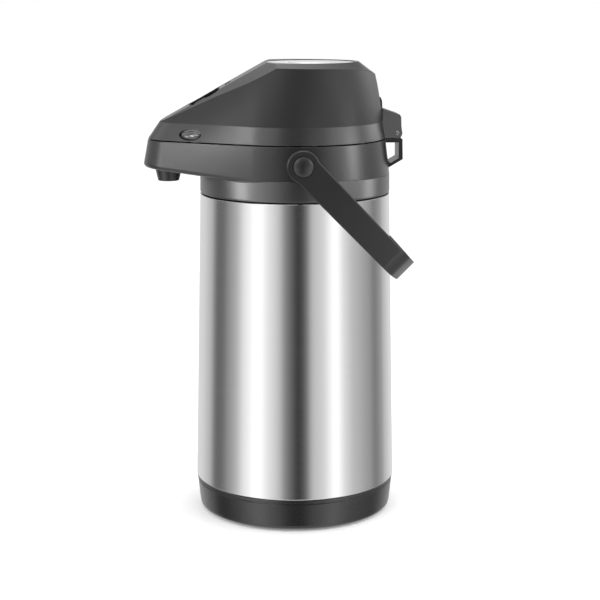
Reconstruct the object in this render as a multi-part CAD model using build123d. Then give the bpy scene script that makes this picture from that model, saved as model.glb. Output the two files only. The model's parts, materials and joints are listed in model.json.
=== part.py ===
from build123d import *
import math
import os

os.makedirs("parts", exist_ok=True)

# Thermal coffee airpot in millimetres. +Z is up, the spout points to -X and the handle turns about Y.
# The origin is the centre of the base, on the table.

# Heights of the main levels
BASE_TOP = 26.4
STEEL_TOP = 264.0
COLLAR_BOTTOM = 264.6
HEAD_LOW = 277.0
SEAM = 309.9
CREASE = 325.0
TOP = 375.4

# Steel body
STEEL_FOOT_RADIUS = 83.3
STEEL_TOP_RADIUS = 80.7
STEEL_WALL = 0.8
VESSEL_RADIUS = 75.5
NECK_RADIUS = 44.0

# Head outlines: radius of the round part, radius of the nose and tip of the nose
HOUSING_LOW = (81.1, 32.0, -130.7)
HOUSING_HIGH = (77.5, 28.0, -125.2)
LID_LOW = (77.3, 28.0, -124.9)
LID_CREASE = (74.7, 24.0, -115.4)
LID_MIDDLE = (73.2, 22.0, -104.6)
LID_HIGH = (64.8, 17.0, -76.5)
WALL = 2.4

# Top of the lid
RIDGE_START = (-112.4, 326.6)
RIDGE_SLOPE = 0.557
PANEL = 1.4
LID_RIM = 1.1
BUTTON_X = 13.0
BUTTON_RADIUS = 18.5
PLATE_RADIUS = 38.5

# Hinge of the lid
HINGE_X = 86.3
HINGE_Z = 314.6
HINGE_PIN_RADIUS = 1.5
BRACKET_HALF = 12.5
KNUCKLE_HALF = 5.9

# Carrying handle
PIVOT_Z = 295.0
PIVOT_RADIUS = 4.0
HANDLE_OUTER = 88.3
HANDLE_INNER = 82.8
HANDLE_REACH = 133.6
HANDLE_BOW = 185.0
HANDLE_CORNER = 14.0
HANDLE_REST_DEG = 44.0
BOSS_RADIUS = 13.3

# Pouring parts
TUBE_X = -6.0
NOZZLE_X = -107.6

GAP = 0.1


def save(name, shape):
    """Write one sub-part to its own file."""
    shape.label = name
    export_step(shape, f"parts/{name}.step")


def turned(points, centre_x=0.0):
    """Solid turned about the vertical line at centre_x, from (radius, height) corners."""
    outline = make_face(Polyline(*points, close=True))
    return Pos(centre_x, 0, 0) * revolve(Plane.XZ * outline, Axis.Z)


def disc(radius, low, high, x=0.0, y=0.0):
    """Upright cylinder between two heights."""
    return Pos(x, y, low) * Cylinder(radius, high - low, align=(Align.CENTER, Align.CENTER, Align.MIN))


def tube(outer, inner, low, high, x=0.0, y=0.0):
    """Upright ring between two heights."""
    return disc(outer, low, high, x, y) - disc(inner, low - 1, high + 1, x, y)


def rod(radius, start, end):
    """Round bar between two points."""
    axis = Vector(*end) - Vector(*start)
    base = Plane(origin=start, z_dir=axis)
    return base * Cylinder(radius, axis.length, align=(Align.CENTER, Align.CENTER, Align.MIN))


def side_plate(points, low_y, high_y):
    """Plate with an outline of (x, z) corners, between two Y values."""
    outline = make_face(Polyline(*points, close=True))
    return Pos(0, high_y, 0) * extrude(Plane.XZ * outline, high_y - low_y)


def teardrop(height, size, grow=0.0):
    """Plan outline of the head at one height: a large circle and a nose circle joined by tangents."""
    radius, nose, tip = size
    centre = -tip - nose
    radius = radius + grow
    nose = nose + grow
    sine = (radius - nose) / centre
    cosine = math.sqrt(1 - sine * sine)
    big_left = (-radius * sine, radius * cosine)
    nose_left = (-centre - nose * sine, nose * cosine)
    big_right = (big_left[0], -big_left[1])
    nose_right = (nose_left[0], -nose_left[1])
    outline = [
        Line(big_left, nose_left),
        ThreePointArc(nose_left, (-centre - nose, 0), nose_right),
        Line(nose_right, big_right),
        ThreePointArc(big_right, (radius, 0), big_left),
    ]
    return Pos(0, 0, height) * make_face(outline)


def lid_form(grow=0.0):
    """Tapered body of the lid before its top is cut: a short band, then the taller wall above the crease."""
    band = loft([teardrop(SEAM + 0.9, LID_LOW, grow), teardrop(CREASE, LID_CREASE, grow)], ruled=True)
    wall = loft([teardrop(CREASE, LID_CREASE, grow), teardrop(340, LID_MIDDLE, grow), teardrop(380, LID_HIGH, grow)])
    return band + wall


def below(point, normal):
    """Large block filling the side of a plane away from its normal."""
    block = Box(700, 700, 400, align=(Align.CENTER, Align.CENTER, Align.MAX))
    return Plane(origin=point, z_dir=normal) * block


def ridge_section(x, drop):
    """Upright cross-section at x through the sloping ridge and the flanks beside it."""
    half = 16 + 0.05 * (x + 26)
    ridge = RIDGE_START[1] + RIDGE_SLOPE * (x - RIDGE_START[0]) - drop
    flank = 347.0 + 0.596 * (x + 60) - drop
    corners = [(-80, flank), (-half, ridge), (half, ridge), (80, flank), (80, 200), (-80, 200)]
    return Pos(x, 0, 0) * (Plane.YZ * make_face(Polyline(*corners, close=True)))


def roof(drop, grow):
    """Faceted top of the lid: flat crown, narrow sloping ridge, two twisted flanks and a rounded rear slope."""
    crown = TOP - drop
    form = lid_form(grow) & below((0, 0, crown), (0, 0, 1))
    form = form & loft([ridge_section(-130, drop), ridge_section(85, drop)], ruled=True)
    narrow = Pos(-10, 0, crown) * scale(Circle(1), (65, 44.1, 1))
    wide = Pos(-10, 0, crown - 75) * scale(Circle(1), (160.9, 646, 1))
    return form & loft([wide, narrow], ruled=True)


def ridge_plane(x, lift=0.0):
    """Plane on the sloping ridge at x, with its own x axis running up the slope."""
    z = RIDGE_START[1] + RIDGE_SLOPE * (x - RIDGE_START[0])
    normal = Vector(-RIDGE_SLOPE, 0, 1).normalized()
    origin = Vector(x, 0, z) + normal * lift
    return Plane(origin=origin, x_dir=(1, 0, RIDGE_SLOPE), z_dir=normal)


def slab(length, width, radius, depth):
    """Rounded rectangle going down from the plane it is placed on."""
    return extrude(RectangleRounded(length, width, radius), -depth)


def steel_radius(z):
    """Outer radius of the steel wall, which flares slightly toward the foot."""
    share = (STEEL_TOP - z) / (STEEL_TOP - BASE_TOP)
    return STEEL_TOP_RADIUS + (STEEL_FOOT_RADIUS - STEEL_TOP_RADIUS) * share


# ---- Body that stands still ----


def outer_casing():
    """Outer steel wall with the shoulder and neck that the head covers."""
    foot = steel_radius(BASE_TOP)
    outside = [
        (foot - 0.3, BASE_TOP),
        (foot, BASE_TOP + 0.4),
        (steel_radius(90), 90),
        (steel_radius(180), 180),
        (STEEL_TOP_RADIUS, STEEL_TOP - 0.4),
        (STEEL_TOP_RADIUS - 0.5, STEEL_TOP + 0.1),
        (77.7, STEEL_TOP + 0.4),
        (77.7, 268.5),
        (74, 272),
        (46, 280.5),
        (NECK_RADIUS, 283),
        (NECK_RADIUS, 289),
    ]
    inside = [
        (NECK_RADIUS - STEEL_WALL, 289),
        (NECK_RADIUS - STEEL_WALL, 282.5),
        (45.7, 279.7),
        (73.6, 271.2),
        (76.9, 268.1),
        (76.9, STEEL_TOP - 0.4),
        (STEEL_TOP_RADIUS - STEEL_WALL, STEEL_TOP - 0.8),
        (foot - STEEL_WALL, BASE_TOP + 0.4),
        (foot - STEEL_WALL, BASE_TOP),
    ]
    return turned(outside + inside)


def vacuum_base():
    """Steel disc that closes the wall from below, with three bosses for the base screws."""
    plate = disc(STEEL_FOOT_RADIUS - STEEL_WALL - 0.1, 32.5, 33.7)
    for x, y in screw_places():
        plate += disc(4.2, 14.1, 32.5, x, y)
        plate -= disc(2.0, 13, 26, x, y)
    return plate


def inner_vessel():
    """Double-walled bottle's inner wall, with a rolled lip over the neck."""
    wall = 0.8
    r = VESSEL_RADIUS
    outside = [
        (0, 36),
        (r - 9, 36),
        (r - 2.5, 38.5),
        (r, 45),
        (r, 255),
        (r - 4, 263),
        (46, 274.5),
        (42, 279),
        (41.2, 283),
        (41.2, 289.1),
        (44, 289.1),
        (44, 290),
    ]
    inside = [
        (40.4, 290),
        (40.4, 282.8),
        (41.3, 278.5),
        (45.5, 273.8),
        (r - 4.5, 262.4),
        (r - wall, 254.8),
        (r - wall, 45.2),
        (r - 3.2, 39.2),
        (r - 9.2, 36.8),
        (0, 36.8),
    ]
    return turned(outside + inside)


def screw_places():
    """Plan positions of the three base screws."""
    return [(42 * math.cos(math.radians(a)), 42 * math.sin(math.radians(a))) for a in (90, 210, 330)]


def base_cover():
    """Moulded base with a shadow groove under the steel edge and a floor that carries the turning foot."""
    outside = [
        (76.8, 1.2),
        (78.6, 1.7),
        (79.8, 2.9),
        (80.3, 4.8),
        (82.4, 22.2),
        (81.8, 22.6),
        (81.8, 23.4),
        (82.8, 23.8),
        (82.8, 25.3),
        (82.2, 25.8),
        (82.2, 31.9),
        (79.6, 31.9),
        (79.6, 14),
        (10.2, 14),
        (10.2, 11),
        (77.4, 11),
        (76.4, 3),
    ]
    cover = turned(outside)
    for x, y in screw_places():
        cover -= disc(2.1, 10, 15, x, y)
    return cover


def base_screw(x, y):
    """Pan-head screw driven up through the base floor, with a cross recess."""
    screw = disc(3.8, 8.9, 11, x, y) + disc(1.9, 11, 25, x, y)
    screw -= Pos(x, y, 8.9) * Box(4.6, 0.9, 2.2)
    screw -= Pos(x, y, 8.9) * Box(0.9, 4.6, 2.2)
    return screw


def above_bill(lift=0.0):
    """Block above the sloping underside of the bill, which rises toward the nose."""
    block = Box(700, 700, 300, align=(Align.CENTER, Align.CENTER, Align.MIN))
    return Plane(origin=(-50, 0, 280.3 + lift), z_dir=(0.085, 0, 1)) * block


def above_ring(lift=0.0):
    """Block above the underside of the round part, lowest where the bill leaves it."""
    low = [(-150, 284), (-50, 280.2), (-26, 281.9), (20, 281.8), (100, 280), (100, 480), (-150, 480)]
    return Pos(0, 0, lift) * side_plate(low, -300, 300)


def head_underside(lift=0.0):
    """Block above the whole underside of the head."""
    return above_bill(lift) & above_ring(lift)


def shoulder_collar():
    """Plain ring between the steel wall and the pouring head, cut at a slant on top."""
    outside = [
        (79.9, COLLAR_BOTTOM),
        (80.6, COLLAR_BOTTOM + 0.8),
        (80.8, COLLAR_BOTTOM + 2),
        (80.8, 290),
        (78.2, 290),
        (78.2, COLLAR_BOTTOM),
    ]
    return turned(outside) - head_underside(-GAP)


def housing_hollow():
    """Space inside the lower head."""
    return loft([teardrop(HEAD_LOW, HOUSING_LOW, -WALL), teardrop(SEAM + 1, HOUSING_HIGH, -WALL)], ruled=True)


def pour_housing():
    """Lower head: the round shell with the pouring bill, the handle bosses and the hinge loop."""
    form = loft([teardrop(HEAD_LOW, HOUSING_LOW), teardrop(SEAM - 0.2, HOUSING_HIGH)], ruled=True)
    shell = form & above_bill()
    shell = fillet(shell.faces().sort_by(Axis.Z)[0].edges(), 3.2)
    shell = shell & above_ring()
    low, high = HOUSING_LOW[0], HOUSING_HIGH[0]
    drum = turned([(0, HEAD_LOW), (low - 0.02, HEAD_LOW), (high - 0.02, SEAM - 0.2), (0, SEAM - 0.2)])
    shell += drum & head_underside()
    shell -= housing_hollow() & head_underside(2.6)
    shell -= disc(NECK_RADIUS + 10, 270, 300)
    for side in (1, -1):
        shell += rod(11, (0, side * 74, PIVOT_Z), (0, side * 82.4, PIVOT_Z))
        shell -= rod(PIVOT_RADIUS + 0.05, (0, side * 70, PIVOT_Z), (0, side * 83, PIVOT_Z))
    shell += hinge_loop() - disc(HOUSING_HIGH[0] - 1, 270, 330)
    return shell - disc(11.4, 270, 300, NOZZLE_X)


def hinge_loop():
    """Windowed loop behind the head, with a post that holds the hinge pin between the lid's two plates."""
    outline = [(72, 309.4), (91.2, 309.4), (91.4, 292.2), (79.4, 285.3), (72, 285.3)]
    window = [(76.9, 306.5), (88.0, 306.5), (88.0, 293.2), (80.8, 289.0), (78.4, 291.4)]
    loop = side_plate(outline, -BRACKET_HALF, BRACKET_HALF) - side_plate(window, -20, 20)
    post = [(HINGE_X - 4.4, 308), (HINGE_X + 4.4, 308), (HINGE_X + 4.4, HINGE_Z), (HINGE_X - 4.4, HINGE_Z)]
    loop += side_plate(post, -KNUCKLE_HALF, KNUCKLE_HALF)
    loop += rod(4.4, (HINGE_X, -KNUCKLE_HALF, HINGE_Z), (HINGE_X, KNUCKLE_HALF, HINGE_Z))
    return loop - rod(HINGE_PIN_RADIUS + 0.05, (HINGE_X, -20, HINGE_Z), (HINGE_X, 20, HINGE_Z))


def hinge_pin():
    """Steel pin through the hinge, with a small head at each end."""
    pin = rod(HINGE_PIN_RADIUS, (HINGE_X, -BRACKET_HALF, HINGE_Z), (HINGE_X, BRACKET_HALF, HINGE_Z))
    for side in (1, -1):
        start = (HINGE_X, side * BRACKET_HALF, HINGE_Z)
        end = (HINGE_X, side * (BRACKET_HALF + 0.6), HINGE_Z)
        pin += rod(1.7, start, end)
    return pin


def pivot_cap(side):
    """Domed cap and shaft that the handle turns on."""
    shaft = rod(PIVOT_RADIUS, (0, side * 76.5, PIVOT_Z), (0, side * 88.5, PIVOT_Z))
    cap = rod(8.0, (0, side * 88.5, PIVOT_Z), (0, side * 89.3, PIVOT_Z))
    ball_radius = 19.0
    centre = 89.3 - math.sqrt(ball_radius**2 - 64)
    ball = Pos(0, side * centre, PIVOT_Z) * Sphere(ball_radius)
    dome = ball & rod(8.0, (0, side * 89.3, PIVOT_Z), (0, side * 95, PIVOT_Z))
    return shaft + cap + dome


def stopper():
    """Plug in the bottle's mouth, with a hole for the dip tube and a chimney for the pump air."""
    plug = turned(
        [
            (0, 279),
            (39.2, 279),
            (39.6, 280),
            (39.6, 283),
            (38.0, 283),
            (38.0, 287),
            (39.6, 287),
            (39.6, 290.1),
            (44.0, 290.1),
            (44.0, 293.5),
            (43.0, 294.4),
            (0, 294.4),
        ]
    )
    plug -= disc(5.55, 270, 300, TUBE_X)
    plug += disc(6.5, 294, 308.0, BUTTON_X)
    plug -= disc(4.0, 270, 320, BUTTON_X)
    return plug


def stopper_gasket():
    """Rubber ring in the plug's groove."""
    return tube(40.3, 38.05, 283.05, 286.95)


def chimney_gasket():
    """Soft ring between the air chimney and the lid's air port."""
    return tube(6.5, 4.2, 308.0, 310.2, BUTTON_X)


def dip_tube():
    """Plain tube from near the bottle's floor up to the spout tube, cut at a slant at its foot."""
    pipe = tube(5.0, 3.9, 42, 289, TUBE_X)
    return pipe - below((TUBE_X, 0, 44), (0.5, 0, 1))


def spout_tube():
    """Bent tube from the plug to the nozzle, with a socket over the dip tube."""
    path = Polyline((TUBE_X, 0, 289.1), (TUBE_X, 0, 302), (NOZZLE_X, 0, 299), (NOZZLE_X, 0, 282.6))
    path = fillet(path.vertices().filter_by(lambda v: v.Z > 290), 8.0)
    start = Plane(origin=(TUBE_X, 0, 289.1), z_dir=(0, 0, 1))
    skin = sweep(start * Circle(5.5), path=path)
    bore = sweep(start * Circle(4.0), path=path)
    return skin - bore


def nozzle():
    """Short tapered spout under the bill."""
    outside = [
        (4.2, 274.9),
        (8.6, 274.9),
        (9.0, 275.3),
        (11.2, 284.6),
        (11.2, 289.9),
        (13.0, 289.9),
        (13.0, 291.3),
        (5.6, 291.3),
        (5.6, 282.5),
        (4.2, 282.5),
    ]
    return turned(outside, NOZZLE_X)


# ---- Turning foot ----


def swivel_foot():
    """Disc that stays on the table while the pot turns, with a raised track and a hub."""
    foot = turned(
        [
            (0, 3),
            (62.5, 3),
            (62.5, 1.2),
            (63.9, 1.2),
            (63.9, 3.2),
            (71.1, 3.2),
            (71.1, 1.2),
            (73, 1.2),
            (73, 6),
            (64, 6),
            (64, 10.9),
            (60, 10.9),
            (60, 6),
            (10.1, 6),
            (10.1, 14.1),
            (0, 14.1),
        ]
    )
    return foot - disc(1.6, 4, 20)


def foot_ring():
    """Rubber ring the pot stands on."""
    return tube(71.0, 64.0, 0, 3.1)


def hub_clip():
    """Washer over the hub that keeps the foot on the base."""
    return tube(15, 1.7, 14.2, 16)


def hub_screw():
    """Screw that holds the hub washer."""
    return disc(3.5, 16.1, 18.2) + disc(1.5, 5, 16.1)


# ---- Lid ----


def lid_knuckle():
    """Wedge on the back of the lid that ends in two round plates on the hinge pin."""
    wedge = [
        (70, 337),
        (89.1, 330.1),
        (90.2, 327.8),
        (90.3, 320),
        (HINGE_X + 4.8, HINGE_Z),
        (84.2, 310.3),
        (70, 310.3),
    ]
    knuckle = side_plate(wedge, -BRACKET_HALF, BRACKET_HALF)
    knuckle += rod(4.8, (HINGE_X, -BRACKET_HALF, HINGE_Z), (HINGE_X, BRACKET_HALF, HINGE_Z))
    clear = [(79.5, 300), (99, 300), (99, 320.2), (79.5, 320.2)]
    knuckle -= side_plate(clear, -KNUCKLE_HALF - 0.2, KNUCKLE_HALF + 0.2)
    return knuckle - rod(HINGE_PIN_RADIUS + 0.05, (HINGE_X, -20, HINGE_Z), (HINGE_X, 20, HINGE_Z))


def release_frame(side):
    """Plane on the lid's flank at a release button: z points outward, x along the flank and y down."""
    radius, nose, centre = 76.15, 26.25, 95.1
    sine = (radius - nose) / centre
    cosine = math.sqrt(1 - sine * sine)
    x = -90.0
    y = (radius + x * sine) / cosine
    normal = Vector(-sine, side * cosine, 0.22)
    along = Vector(side * cosine, sine, 0)
    return Plane(origin=(x, side * y, 316.4), x_dir=along, z_dir=normal)


def lid_shell():
    """Lid wall with a rebate for the panel, the hinge knuckle and the two release openings."""
    shell = roof(0, 0) - lid_form(-WALL)
    shell -= lid_form(-LID_RIM) - roof(PANEL + GAP, 3)
    shell -= loft([teardrop(SEAM, LID_LOW, -WALL), teardrop(SEAM + 1.5, LID_LOW, -WALL)], ruled=True)
    rib = side_plate([(70, 336), (74.4, 336), (74.1, 342), (72.8, 345), (70, 346)], -9, 9)
    shell += (lid_knuckle() + rib) - lid_form(-WALL + 0.6)
    for side in (1, -1):
        recess = Pos(0, 0, 2) * extrude(Ellipse(10.5, 4.9), -4.2)
        hole = Pos(0, 0.7, 5) * extrude(Ellipse(9.5, 4.0), -18)
        shell -= release_frame(side) * recess
        shell -= release_frame(side) * hole
    return shell


def top_panel():
    """Cover let into the lid: ridge, flanks and crown, with the button's guide and an opening for the lock."""
    panel = roof(0, -LID_RIM - 0.1) - roof(PANEL, 3)
    seat = tube(PLATE_RADIUS + 3, BUTTON_RADIUS + 1, TOP - 4, TOP - 1, BUTTON_X)
    panel += seat & roof(0.4, -WALL)
    panel -= ridge_plane(-77.5, 4) * slab(29.2, 38.2, 8.1, 30)
    panel -= ridge_plane(-57.5, 4) * slab(5.6, 10, 1.2, 4.8)
    panel -= disc(PLATE_RADIUS + 0.1, TOP - 1.6, TOP + 5, BUTTON_X)
    panel += tube(BUTTON_RADIUS + 2.2, BUTTON_RADIUS + 0.4, 353, TOP - 1.6, BUTTON_X)
    return panel - disc(BUTTON_RADIUS + 0.4, 340, 400, BUTTON_X)


def lock_well():
    """Liner of the lock's pocket: walls, a floor with a slot for the stem, and a flange under the panel."""
    liner = ridge_plane(-77.5, 1) * slab(29, 38, 8, 8.0) & roof(0.3, -WALL - 0.3)
    flange = ridge_plane(-77.5, 1) * slab(33, 42, 10, 5.0) & roof(PANEL + GAP, -WALL - 0.3)
    liner += flange
    liner -= ridge_plane(-77.5, 4) * slab(26.6, 35.6, 6.8, 9.2)
    return liner - ridge_plane(-77.5, 4) * slab(17, 8, 1.5, 30)


def crown_plate():
    """Thin metal ring let into the crown around the push button."""
    ring = tube(PLATE_RADIUS, BUTTON_RADIUS + 0.7, TOP - 1.6, TOP - 0.7, BUTTON_X)
    return chamfer(ring.edges().group_by(Axis.Z)[-1], 0.25)


def lid_underplate():
    """Floor of the lid, with the bellows seat and the air port."""
    plate = extrude(teardrop(SEAM + 0.5, LID_LOW), 3) & lid_form(-WALL - 0.2)
    plate += tube(39, 34, SEAM + 3, SEAM + 6.1, BUTTON_X)
    plate += tube(10, 5, SEAM + 3, SEAM + 6.1, BUTTON_X)
    plate -= disc(5.0, 300, 330, BUTTON_X)
    for side in (1, -1):
        plate -= Pos(-92, side * 25, SEAM) * Box(30, 31, 20)
    for x, y in underplate_screw_places():
        plate -= disc(2.1, 300, 330, x, y)
    return plate


def underplate_screw_places():
    """Plan positions of the screws under the lid."""
    return [(-58, 30), (-58, -30), (52, 40), (52, -40)]


def underplate_screw(x, y):
    """Screw that holds the lid floor, head below."""
    screw = disc(3.6, SEAM - 1.0, SEAM + 0.4, x, y) + disc(1.9, SEAM + 0.4, SEAM + 9, x, y)
    return screw - Pos(x, y, SEAM - 1.0) * Box(4.4, 0.9, 1.2)


def bellows():
    """Folded soft pump body between the lid floor and the press plate."""
    low = 316.1
    folds = 4
    pitch = 29.7 / folds
    outside = []
    inside = []
    for i in range(folds):
        z = low + i * pitch
        outside += [(33, z), (38, z + pitch / 2)]
        inside += [(31.6, z), (36.6, z + pitch / 2)]
    outside.append((33, low + folds * pitch))
    inside.append((31.6, low + folds * pitch))
    return turned(outside + inside[::-1], BUTTON_X)


def return_spring():
    """Coil spring inside the bellows that lifts the button."""
    height = 27.6
    low = 317.0
    path = Pos(BUTTON_X, 0, low) * Helix(pitch=height / 4, height=height, radius=22)
    start = Plane(origin=path @ 0, z_dir=path % 0)
    return sweep(start * Circle(0.9), path=path)


def air_valve():
    """Soft flap under the press plate."""
    return tube(9, 2.2, 344.7, 345.9, BUTTON_X)


# ---- Parts that move in the lid ----


def push_button():
    """Button skirt with the wide press plate that squeezes the bellows."""
    skirt = tube(BUTTON_RADIUS, BUTTON_RADIUS - 2, 349.9, TOP - 1.4, BUTTON_X)
    top = disc(BUTTON_RADIUS, TOP - 3.6, TOP - 1.4, BUTTON_X)
    press = disc(37, 345.9, 350, BUTTON_X) - disc(34, 348.2, 360, BUTTON_X)
    press += disc(BUTTON_RADIUS, 347, 350, BUTTON_X)
    for angle in range(0, 180, 45):
        rib = Pos(BUTTON_X, 0, 348.9) * Rot(0, 0, angle) * Box(70, 1.6, 2.0)
        press += rib
    return skirt + top + press


def button_cap():
    """Metal disc let into the top of the button, slightly dished and rounded at the rim."""
    cap = disc(BUTTON_RADIUS, TOP - 1.4, TOP - 0.4, BUTTON_X)
    return fillet(cap.edges().group_by(Axis.Z)[-1], 0.5)


def lock_slider():
    """Ribbed slider in the ridge pocket, with a stem through the slot and a tongue inside."""
    knob = Pos(-5.0, 0, -2.0) * slab(11, 24, 3, 3.1)
    for i in range(3):
        knob += Pos(-7.6 + 2.6 * i, 0, -1.4) * slab(1.0, 18, 0.4, 1.0)
    stem = Pos(-4.6, 0, -4.9) * slab(6, 6, 1, 5.0)
    tongue = Pos(-1.6, 0, -9.2) * slab(20, 12, 1, 1.8)
    return ridge_plane(-77.5) * (knob + stem + tongue)


def release_button(side):
    """Oval domed button with a guide and a short latch leg."""
    cap = Pos(0, 0.7, -2.3) * scale(Sphere(1), (10.2, 4.3, 3.0))
    cap = cap & Pos(0, 0.7, -2.3) * extrude(Ellipse(9.3, 3.8), 4)
    stem = Pos(0, 0.7, -2.3) * extrude(Ellipse(8.4, 3.2), -5.6)
    leg = Pos(0, 5.5, -7.5) * Box(7, 13, 1.8)
    return release_frame(side) * (cap + stem + leg)


def latch_catch(side):
    """Small ledge on the housing's inner wall, in front of the latch leg."""
    ledge = release_frame(side) * (Pos(0, 16.0, 1.6) * Box(14, 4.0, 14))
    return ledge & housing_hollow()


# ---- Handle ----


def handle_outline(inset):
    """Outline across the handle: two straight arms, tight corners and a bowed grip."""
    half = HANDLE_OUTER - inset
    bow = Pos(0, HANDLE_BOW - HANDLE_REACH) * Circle(HANDLE_BOW - inset)
    outline = bow & Pos(0, -60) * Rectangle(2 * half, 200)
    return fillet(outline.vertices().group_by(Axis.Y)[0], HANDLE_CORNER - inset)


def carry_handle():
    """Carrying handle on the two pivots, leaning back at rest, with bevelled outer edges."""
    band = handle_outline(0) - handle_outline(HANDLE_OUTER - HANDLE_INNER)
    band = extrude(Plane.YZ * band, 20, both=True)
    strap = Polyline((-12, 0), (12, 0), (10.7, -100), (9.6, -145), (-9.6, -145), (-10.7, -100), close=True)
    side_view = make_face(strap) + Circle(BOSS_RADIUS)
    side_view = extrude(Plane.XZ * side_view, HANDLE_OUTER, both=True)
    rims = side_view.edges().group_by(Axis.Y)
    side_view = chamfer(rims[0] + rims[-1], 0.9)
    handle = band & side_view
    handle -= rod(PIVOT_RADIUS + 0.05, (0, -100, 0), (0, 100, 0))
    for side in (1, -1):
        handle -= rod(8.4, (0, side * 87.4, 0), (0, side * 100, 0))
    return Pos(0, 0, PIVOT_Z) * Rot(0, -HANDLE_REST_DEG, 0) * handle


save("outer_casing", outer_casing())
save("vacuum_base", vacuum_base())
save("inner_vessel", inner_vessel())
save("base_cover", base_cover())
for number, place in enumerate(screw_places(), 1):
    save(f"base_screw_{number}", base_screw(*place))
save("shoulder_collar", shoulder_collar())
save("pour_housing", pour_housing())
save("hinge_pin", hinge_pin())
save("pivot_cap_left", pivot_cap(-1))
save("pivot_cap_right", pivot_cap(1))
save("stopper", stopper())
save("stopper_gasket", stopper_gasket())
save("chimney_gasket", chimney_gasket())
save("dip_tube", dip_tube())
save("spout_tube", spout_tube())
save("nozzle", nozzle())
save("latch_catch_left", latch_catch(-1))
save("latch_catch_right", latch_catch(1))
save("swivel_foot", swivel_foot())
save("foot_ring", foot_ring())
save("hub_clip", hub_clip())
save("hub_screw", hub_screw())
save("lid_shell", lid_shell())
save("top_panel", top_panel())
save("lock_well", lock_well())
save("crown_plate", crown_plate())
save("lid_underplate", lid_underplate())
for number, place in enumerate(underplate_screw_places(), 1):
    save(f"underplate_screw_{number}", underplate_screw(*place))
save("bellows", bellows())
save("return_spring", return_spring())
save("air_valve", air_valve())
save("push_button", push_button())
save("button_cap", button_cap())
save("lock_slider", lock_slider())
save("release_button_left", release_button(-1))
save("release_button_right", release_button(1))
save("carry_handle", carry_handle())
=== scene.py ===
import json
import math

import bpy
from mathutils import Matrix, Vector


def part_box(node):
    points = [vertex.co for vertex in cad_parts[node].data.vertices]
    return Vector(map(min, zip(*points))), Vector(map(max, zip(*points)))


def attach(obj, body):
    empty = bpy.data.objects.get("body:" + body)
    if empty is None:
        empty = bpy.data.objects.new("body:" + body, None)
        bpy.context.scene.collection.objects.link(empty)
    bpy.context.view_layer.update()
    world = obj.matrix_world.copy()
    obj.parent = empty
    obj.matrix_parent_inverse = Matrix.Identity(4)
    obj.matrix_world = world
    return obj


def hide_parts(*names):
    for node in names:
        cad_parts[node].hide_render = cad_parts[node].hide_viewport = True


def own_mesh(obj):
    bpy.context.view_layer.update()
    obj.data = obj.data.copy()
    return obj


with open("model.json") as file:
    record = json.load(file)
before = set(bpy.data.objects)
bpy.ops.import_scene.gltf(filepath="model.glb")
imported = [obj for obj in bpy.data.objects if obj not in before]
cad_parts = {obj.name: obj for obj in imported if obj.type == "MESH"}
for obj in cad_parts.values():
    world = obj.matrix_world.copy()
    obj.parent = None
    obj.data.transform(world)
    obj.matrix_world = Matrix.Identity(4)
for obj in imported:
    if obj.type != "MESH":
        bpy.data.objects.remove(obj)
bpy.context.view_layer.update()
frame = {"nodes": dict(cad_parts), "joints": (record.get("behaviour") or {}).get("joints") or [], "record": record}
nodes = frame["nodes"]

# Lengths are in metres.
CREASE = 0.325  # height of the crease between the lid's glossy band and its matt wall
BRACKET_X = 0.0744  # the hinge bracket behind the lid's wall begins here
BUTTON_X = 0.013  # the push button's axis
JOINT_SHADE_DEPTH = 0.001  # painted shade in the joint between the steel wall and the collar above it, from this far below the collar
PLASTIC_EDGE = 0.0005  # radius that moulded edges show
METAL_EDGE = 0.0004  # radius that pressed metal and rubber edges show


# ---- Small helpers for node materials ----


def grey(value):
    return (value, value, value, 1.0)


class Graph:
    """Short ways to add and join shader nodes in one node tree."""

    def __init__(self, tree):
        self.tree = tree

    def join(self, value, target):
        if isinstance(value, bpy.types.NodeSocket):
            self.tree.links.new(value, target)
        else:
            target.default_value = value

    def node(self, kind, **settings):
        made = self.tree.nodes.new("ShaderNode" + kind)
        for name, value in settings.items():
            setattr(made, name, value)
        return made

    def math(self, operation, a, b=0.0, clamp=False):
        made = self.node("Math", operation=operation, use_clamp=clamp)
        self.join(a, made.inputs[0])
        self.join(b, made.inputs[1])
        return made.outputs[0]

    def parts(self, vector):
        made = self.node("SeparateXYZ")
        self.join(vector, made.inputs[0])
        return made.outputs

    def mix(self, share, low, high):
        made = self.node("Mix", data_type="RGBA")
        self.join(share, made.inputs["Factor"])
        self.join(low, made.inputs[6])
        self.join(high, made.inputs[7])
        return made.outputs[2]

    def span(self, value, low, high, to_low=0.0, to_high=1.0, smooth=False):
        """Maps low..high onto to_low..to_high, held at the ends."""
        made = self.node("MapRange", interpolation_type="SMOOTHSTEP" if smooth else "LINEAR")
        self.join(value, made.inputs["Value"])
        for name, amount in (("From Min", low), ("From Max", high), ("To Min", to_low), ("To Max", to_high)):
            made.inputs[name].default_value = amount
        return made.outputs["Result"]

    def ramp(self, share, stops):
        """Greys along a 0..1 share, from (share, grey) stops."""
        made = self.node("ValToRGB")
        made.color_ramp.interpolation = "EASE"
        elements = made.color_ramp.elements
        while len(elements) < len(stops):
            elements.new(0.5)
        for element, (place, level) in zip(elements, stops):
            element.position = place
            element.color = grey(level)
        self.join(share, made.inputs[0])
        return made.outputs[0]


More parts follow.
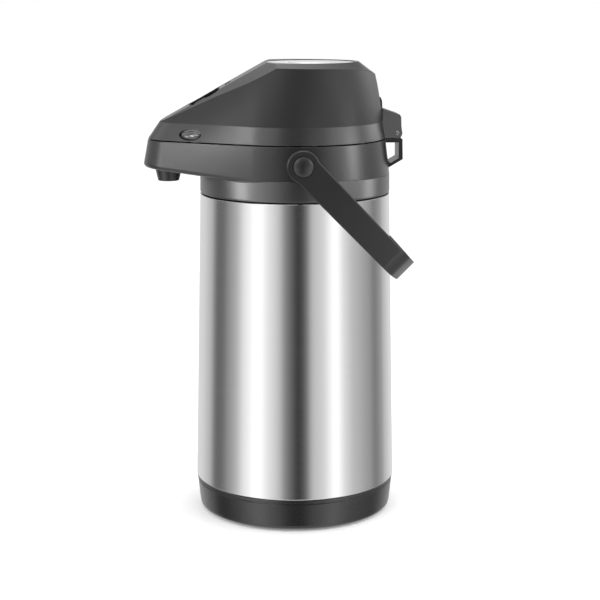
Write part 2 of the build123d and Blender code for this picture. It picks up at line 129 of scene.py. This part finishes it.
class Paint(Graph):
    """A node material with one principled shader."""

    def __init__(self, name):
        self.material = bpy.data.materials.new(name)
        self.material.use_nodes = True
        super().__init__(self.material.node_tree)
        self.shader = self.tree.nodes["Principled BSDF"]
        self.place = self.tree.nodes.new("ShaderNodeTexCoord").outputs["Object"]

    def feed(self, socket, value):
        self.join(value, self.shader.inputs[socket])

    def stretch(self, x, y, z):
        made = self.node("Mapping")
        self.join(self.place, made.inputs["Vector"])
        made.inputs["Scale"].default_value = (x, y, z)
        return made.outputs["Vector"]

    def noise(self, scale, detail=2.0, roughness=0.5, vector=None):
        made = self.node("TexNoise")
        self.join(vector or self.place, made.inputs["Vector"])
        made.inputs["Scale"].default_value = scale
        made.inputs["Detail"].default_value = detail
        made.inputs["Roughness"].default_value = roughness
        return made.outputs["Fac"]

    def between(self, share, low, high):
        """Spreads a noise value over low..high."""
        return self.span(share, 0.3, 0.7, low, high)

    def soft_edge(self, radius):
        made = self.node("Bevel", samples=4)
        made.inputs["Radius"].default_value = radius
        return made.outputs["Normal"]

    def edge_share(self, rounded):
        """0 on flat faces, rising to 1 on sharp edges."""
        geometry = self.node("NewGeometry")
        dot = self.node("VectorMath", operation="DOT_PRODUCT")
        self.join(rounded, dot.inputs[0])
        self.join(geometry.outputs["Normal"], dot.inputs[1])
        return self.math("SUBTRACT", 1.0, dot.outputs["Value"], clamp=True)

    def bump(self, height, distance, strength, normal):
        made = self.node("Bump")
        self.join(height, made.inputs["Height"])
        self.join(normal, made.inputs["Normal"])
        made.inputs["Distance"].default_value = distance
        made.inputs["Strength"].default_value = strength
        return made.outputs["Normal"]


# ---- Materials ----


def lid_wall_share(paint):
    """1 on the lid's walls above the crease, 0 on its lower band and on the hinge bracket."""
    place = paint.parts(paint.place)
    above = paint.span(place["Z"], CREASE - 0.0003, CREASE + 0.0003)
    before_bracket = paint.span(place["X"], BRACKET_X + 0.0002, BRACKET_X - 0.0002)
    return paint.math("MULTIPLY", above, before_bracket)


def moulded_plastic(name, shade, rough, grain=1.0, gloss=0.5, bending=1.5, matt_share=None):
    """Injection-moulded plastic: fine spark texture, uneven gloss, edges a little smoother and painted a little
    paler as a highlight.
    """
    paint = Paint(name)
    rounded = paint.soft_edge(PLASTIC_EDGE)
    edge = paint.edge_share(rounded)
    broad = paint.noise(14, 3)
    fine = paint.noise(2600, 2, 0.6)
    colour = paint.mix(paint.between(broad, 0, 1), grey(shade * 0.93), grey(shade * 1.08))
    # Painted highlight: the rounded edges are coloured paler than the rest.
    painted_edge_highlight = paint.math("MULTIPLY", edge, 2.2, clamp=True)
    paint.feed("Base Color", paint.mix(painted_edge_highlight, colour, grey(shade * 1.9 + 0.02)))
    clouds = paint.between(broad, rough - 0.03, rough + 0.03)
    uneven = paint.math("ADD", clouds, paint.between(fine, -0.04, 0.04))
    if matt_share:
        matt = matt_share(paint)
        gloss = paint.span(matt, 0, 1, gloss, gloss * 0.5)
        uneven = paint.math("ADD", uneven, paint.math("MULTIPLY", matt, 0.12))
    polish = paint.math("MULTIPLY", edge, 0.3)
    paint.feed("Roughness", paint.math("SUBTRACT", uneven, polish, clamp=True))
    paint.feed("Specular IOR Level", gloss)
    paint.feed("IOR", bending)
    paint.feed("Normal", paint.bump(fine, 0.00003 * grain, 0.5, rounded))
    return paint.material


def turned_steel(name, shade, rough, painted_shade_above, anisotropy=0.6):
    """Steel brushed round its axis: level hair lines, uneven in tone and gloss, with painted shade on the top lip
    in the joint.
    """
    paint = Paint(name)
    hair = paint.noise(1, 3, 0.6, paint.stretch(2.0, 2.0, 4200))
    bands = paint.noise(1, 2, 0.5, paint.stretch(1.0, 1.0, 600))
    mixed = paint.math("ADD", paint.math("MULTIPLY", hair, 0.5), paint.math("MULTIPLY", bands, 0.5))
    colour = paint.mix(paint.between(mixed, 0, 1), grey(shade * 0.97), grey(shade * 1.02))
    # Painted shade: above this height the steel's top lip, in the joint under the collar, is coloured dark.
    joint = paint.span(paint.parts(paint.place)["Z"], painted_shade_above - 0.0002, painted_shade_above + 0.0002)
    paint.feed("Base Color", paint.mix(joint, colour, grey(0.06)))
    paint.feed("Metallic", 1.0)
    paint.feed("Roughness", paint.between(mixed, rough - 0.02, rough + 0.02))
    paint.feed("Anisotropic", anisotropy)
    tangent = paint.node("Tangent", direction_type="RADIAL", axis="Z")
    paint.feed("Tangent", tangent.outputs[0])
    paint.feed("Normal", paint.bump(hair, 0.0000015, 0.4, paint.soft_edge(METAL_EDGE)))
    return paint.material


def drawn_steel(name, shade, rough):
    """Plain pressed steel with a light mottled surface."""
    paint = Paint(name)
    mottle = paint.noise(420, 4, 0.6)
    paint.feed("Base Color", paint.mix(paint.between(mottle, 0, 1), grey(shade * 0.9), grey(shade)))
    paint.feed("Metallic", 1.0)
    paint.feed("Roughness", paint.between(mottle, rough - 0.05, rough + 0.07))
    paint.feed("Normal", paint.bump(mottle, 0.00001, 0.4, paint.soft_edge(METAL_EDGE)))
    return paint.material


def spun_plate(name, centre_x, shade, rough):
    """Satin metal disc with fine rings round an upright axis at centre_x."""
    paint = Paint(name)
    place = paint.parts(paint.place)
    x = paint.math("SUBTRACT", place["X"], centre_x)
    square = paint.math("ADD", paint.math("MULTIPLY", x, x), paint.math("POWER", place["Y"], 2.0))
    ring = paint.node("CombineXYZ")
    paint.join(paint.math("SQRT", square), ring.inputs["X"])
    rings = paint.noise(3600, 3, 0.7, ring.outputs[0])
    paint.feed("Base Color", paint.mix(paint.between(rings, 0, 1), grey(shade * 0.9), grey(shade)))
    paint.feed("Metallic", 1.0)
    paint.feed("Roughness", paint.between(rings, rough - 0.05, rough + 0.06))
    paint.feed("Normal", paint.bump(rings, 0.000008, 0.6, paint.soft_edge(METAL_EDGE)))
    return paint.material


def soft_rubber(name, shade, rough, cloudy=0.0):
    """Rubber or silicone: matt, faintly mottled."""
    paint = Paint(name)
    mottle = paint.noise(160, 4, 0.6)
    paint.feed("Base Color", paint.mix(paint.between(mottle, 0, 1), grey(shade * 0.88), grey(shade)))
    paint.feed("Roughness", paint.between(mottle, rough - 0.05, rough + 0.08))
    paint.feed("Normal", paint.bump(paint.noise(1400, 3), 0.00004, 0.5, paint.soft_edge(METAL_EDGE)))
    paint.feed("Subsurface Weight", cloudy)
    paint.feed("Subsurface Radius", (0.004, 0.004, 0.004))
    return paint.material


collar_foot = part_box("shoulder_collar")[0].z
finish = {
    "brushed_steel": turned_steel("brushed_steel", 0.80, 0.16, collar_foot - JOINT_SHADE_DEPTH),
    "plain_steel": drawn_steel("plain_steel", 0.62, 0.34),
    "bright_steel": drawn_steel("bright_steel", 0.85, 0.14),
    "satin_silver": spun_plate("spun_silver", BUTTON_X, 0.90, 0.32),
    "black_plastic": moulded_plastic("black_plastic", 0.011, 0.32, gloss=0.75),
    "dark_grey_plastic": moulded_plastic("dark_grey_plastic", 0.006, 0.50, gloss=0.3),
    "gloss_button": moulded_plastic("button_plastic", 0.03, 0.16, 0.3, gloss=1.0),
    "light_plastic": moulded_plastic("light_plastic", 0.62, 0.4, 0.6),
    "silicone": soft_rubber("silicone", 0.66, 0.5, 0.2),
    "rubber": soft_rubber("foot_rubber", 0.02, 0.75),
}
# Nodes that look a little different from the rest of their material slot.
special = {
    "shoulder_collar": moulded_plastic("collar_plastic", 0.008, 0.33, 0.8, gloss=1.0, bending=1.7),
    "base_cover": moulded_plastic("base_plastic", 0.007, 0.27, 0.6, gloss=0.9),
    "lid_shell": moulded_plastic("lid_plastic", 0.011, 0.34, gloss=0.75, matt_share=lid_wall_share),
    # The pocket's liner is very dark and matt: painted shade inside the recess.
    "lock_well": moulded_plastic("pocket_plastic", 0.004, 0.6, gloss=0.2),
    "carry_handle": moulded_plastic("handle_plastic", 0.010, 0.40),
}
slot_of = {entry["node"]: entry["material_slot"] for entry in frame["record"]["subparts"]}
for name, part in nodes.items():
    part.data.materials.clear()
    part.data.materials.append(special.get(name) or finish[slot_of[name]])

# The steel wall shows clean bands of light, so the handle is kept out of its reflections.
nodes["carry_handle"].visible_glossy = False


# ---- Soft parts that shrink when the button goes down ----


def flattening_copy(node, piece):
    """Copy of a CAD node, for a soft part that flattens toward its fixed end as the button goes down; the copy
    hangs on the lid's body with its own mesh, and the node is hidden.
    """
    copy = bpy.data.objects.new(piece, nodes[node].data.copy())
    bpy.context.scene.collection.objects.link(copy)
    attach(copy, "lid")
    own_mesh(copy)
    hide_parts(node)


press = next(joint for joint in frame["joints"] if joint["name"] == "button_press")
soft_pieces = {"bellows": "bellows_soft", "return_spring": "return_spring_coil"}
for soft in press["deforming_nodes"]:
    flattening_copy(soft["node"], soft_pieces[soft["node"]])


# ---- Studio ----


# The room that reflections show: brightness by compass angle in degrees, where 0 is straight to the front
# and positive is to the right. LOW is seen just below eye level, HIGH just above it and UPPER about twenty
# degrees up.
LOW_ROOM = [
    (-180, 0.46), (-145, 0.44), (-126, 0.34), (-110, 0.08), (-100, 0.085), (-87, 0.2), (-79, 0.27),
    (-64, 0.58), (-49, 0.82), (-34, 0.52), (-21, 0.36), (-18, 0.17), (-10, 0.09), (-2, 0.01),
    (3, 0.015), (8, 0.07), (11.5, 0.13), (14.5, 0.36), (27, 0.42), (45, 0.80), (57, 0.46),
    (70, 0.32), (92, 0.22), (105, 0.12), (118, 0.2), (130, 0.36), (147, 0.45), (180, 0.46),
]
HIGH_ROOM = [
    (-180, 0.62), (-165, 0.5), (-150, 0.4), (-115, 0.35), (-85, 0.38), (-66, 0.26), (-50, 0.2),
    (-36, 0.18), (-20, 0.08), (-4, 0.02), (12, 0.03), (38, 0.22), (70, 0.62), (92, 0.5),
    (115, 0.55), (132, 0.85), (150, 0.5), (165, 0.5), (180, 0.62),
]
UPPER_ROOM = [
    (-180, 0.6), (-176, 0.3), (-168, 0.1), (-140, 0.25), (-118, 0.75), (-90, 0.85), (-68, 0.45),
    (-45, 0.28), (-20, 0.08), (12, 0.03), (40, 0.18), (70, 0.5), (100, 0.9), (128, 1.0),
    (148, 0.3), (163, 0.06), (172, 0.1), (177, 0.35), (180, 0.6),
]
TABLE = 0.55
CEILING = 0.6
ROOM_STRENGTH = 1.8


def studio_world():
    """White room seen directly; for reflections, broad light panels with dark gaps between them."""
    world = bpy.data.worlds.new("studio")
    bpy.context.scene.world = world
    world.use_nodes = True
    room = Graph(world.node_tree)
    room.tree.nodes.clear()
    way = room.parts(room.node("TexCoord").outputs["Generated"])
    angle = room.math("ARCTAN2", way["X"], room.math("MULTIPLY", way["Y"], -1))
    turn = room.span(angle, -math.pi, math.pi)
    low, high, upper = [
        room.ramp(turn, [((degrees + 180) / 360, level) for degrees, level in stops])
        for stops in (LOW_ROOM, HIGH_ROOM, UPPER_ROOM)
    ]
    # Each level blends into the next between two values of the direction's Z.
    colour = room.mix(room.span(way["Z"], -0.06, 0.06, smooth=True), low, high)
    colour = room.mix(room.span(way["Z"], 0.12, 0.30, smooth=True), colour, upper)
    colour = room.mix(room.span(way["Z"], -0.55, -0.85, smooth=True), colour, grey(TABLE))
    colour = room.mix(room.span(way["Z"], 0.40, 0.85, smooth=True), colour, grey(CEILING))
    lit = room.node("Background")
    room.join(colour, lit.inputs["Color"])
    room.join(ROOM_STRENGTH, lit.inputs["Strength"])
    seen = room.node("Background")
    room.join(grey(1.0), seen.inputs["Color"])
    choose = room.node("MixShader")
    room.join(room.node("LightPath").outputs["Is Camera Ray"], choose.inputs[0])
    room.join(lit.outputs[0], choose.inputs[1])
    room.join(seen.outputs[0], choose.inputs[2])
    room.join(choose.outputs[0], room.node("OutputWorld").inputs["Surface"])


def floor_disc():
    """Large pale floor, kept out of reflections."""
    bpy.ops.mesh.primitive_circle_add(vertices=96, radius=30, fill_type="NGON", location=(0, 0, 0))
    floor = bpy.context.object
    floor.name = "floor"
    paint = Paint("floor_paint")
    cloud = paint.noise(3, 3)
    paint.feed("Base Color", paint.mix(paint.between(cloud, 0, 1), grey(0.80), grey(0.82)))
    paint.feed("Roughness", 0.8)
    paint.feed("Emission Color", grey(1.0))
    paint.feed("Emission Strength", 0.25)
    floor.data.materials.append(paint.material)
    floor.visible_glossy = False


def soft_box(name, place, target, width, height, power, only):
    """Rectangular studio lamp facing a target, not seen directly; it may be kept to a few nodes."""
    lamp = bpy.data.lights.new(name, "AREA")
    lamp.shape = "RECTANGLE"
    lamp.size = width
    lamp.size_y = height
    lamp.energy = power
    holder = bpy.data.objects.new(name, lamp)
    bpy.context.scene.collection.objects.link(holder)
    holder.location = place
    holder.rotation_euler = (Vector(target) - Vector(place)).to_track_quat("-Z", "Y").to_euler()
    holder.visible_camera = False
    if only:
        lit = bpy.data.collections.new(name + "_lights")
        for node in only:
            lit.objects.link(nodes[node])
        holder.light_linking.receiver_collection = lit


MIDDLE = (0, 0, 0.25)
NOT_STEEL = [name for name in nodes if name != "outer_casing"]
COLLAR = ["shoulder_collar"]
HANDLE = ["carry_handle"]
LID = ["lid_shell"]
# Each lamp's place, target, width, height, power in watts and the nodes that it lights, None for all.
LAMPS = {
    "key": ((-1.3, -1.6, 1.5), MIDDLE, 1.0, 1.2, 12, None),
    "fill": ((1.6, -1.3, 1.2), MIDDLE, 1.0, 1.2, 8, None),
    "top": ((0.1, 0.2, 2.0), (0, 0, 0.3), 1.4, 1.4, 14, None),
    "nose": ((-0.346, -0.112, 0.314), (-0.108, -0.035, 0.295), 0.06, 0.10, 0.08, NOT_STEEL),
    "band": ((-0.299, -0.182, 0.378), (-0.053, -0.062, 0.317), 0.06, 0.06, 0.15, NOT_STEEL),
    "right_strip": ((0.50, -0.22, 0.355), (0.05, -0.06, 0.30), 0.14, 0.10, 0.35, None),
    "collar_left": ((-0.282, -0.142, 0.241), (-0.046, -0.066, 0.272), 0.08, 0.12, 0.12, COLLAR),
    "collar_right": ((0.302, -0.032, 0.241), (0.055, -0.058, 0.272), 0.08, 0.12, 0.08, COLLAR),
    "handle_end": ((0.20, -0.38, 0.16), (0.11, -0.09, 0.22), 0.12, 0.12, 0.16, HANDLE),
    "hinge": ((0.15, -0.45, 0.28), (0.086, -0.012, 0.32), 0.2, 0.2, 0.25, LID),
    "lid_right": ((0.409, 0.13, 0.44), (0.06, -0.04, 0.34), 0.2, 0.2, 0.25, LID),
}

studio_world()
floor_disc()
for name, settings in LAMPS.items():
    soft_box(name, *settings)


# ---- Camera ----

DISTANCE = 1.373  # from the pot's axis
AZIMUTH = math.radians(-4.55)
EYE_HEIGHT = 0.445
AIM = math.radians(0.186)  # how far past the pot's axis the camera points
FOCAL_LENGTH = 96.24  # in millimetres, like the sensor's width
SENSOR_WIDTH = 36
SHIFT = -0.5333  # of the picture's width; lowers the view, as on a view camera


def shift_only_here(camera):
    """Shifts the lens, but only while the camera stands at its present place."""
    curve = camera.data.driver_add("shift_y")
    terms = []
    for axis, value in zip("XYZ", camera.location):
        variable = curve.driver.variables.new()
        variable.name = "at" + axis
        variable.type = "TRANSFORMS"
        variable.targets[0].id = camera
        variable.targets[0].transform_type = "LOC_" + axis
        variable.targets[0].transform_space = "WORLD_SPACE"
        terms.append(f"abs({variable.name} - ({value:.5f}))")
    curve.driver.expression = f"{SHIFT} if " + " + ".join(terms) + " < 0.001 else 0"


def place_camera():
    """Level camera in front of the pot and above it, whose shifted lens looks down on it."""
    lens = bpy.data.cameras.new("camera")
    lens.lens = FOCAL_LENGTH
    lens.sensor_width = SENSOR_WIDTH
    camera = bpy.data.objects.new("camera", lens)
    bpy.context.scene.collection.objects.link(camera)
    camera.location = (math.sin(AZIMUTH) * DISTANCE, -math.cos(AZIMUTH) * DISTANCE, EYE_HEIGHT)
    camera.rotation_euler = (math.radians(90), 0, AZIMUTH - AIM)
    bpy.context.scene.camera = camera
    shift_only_here(camera)


place_camera()
bpy.context.scene.view_settings.view_transform = "Standard"
bpy.context.scene.view_settings.look = "None"
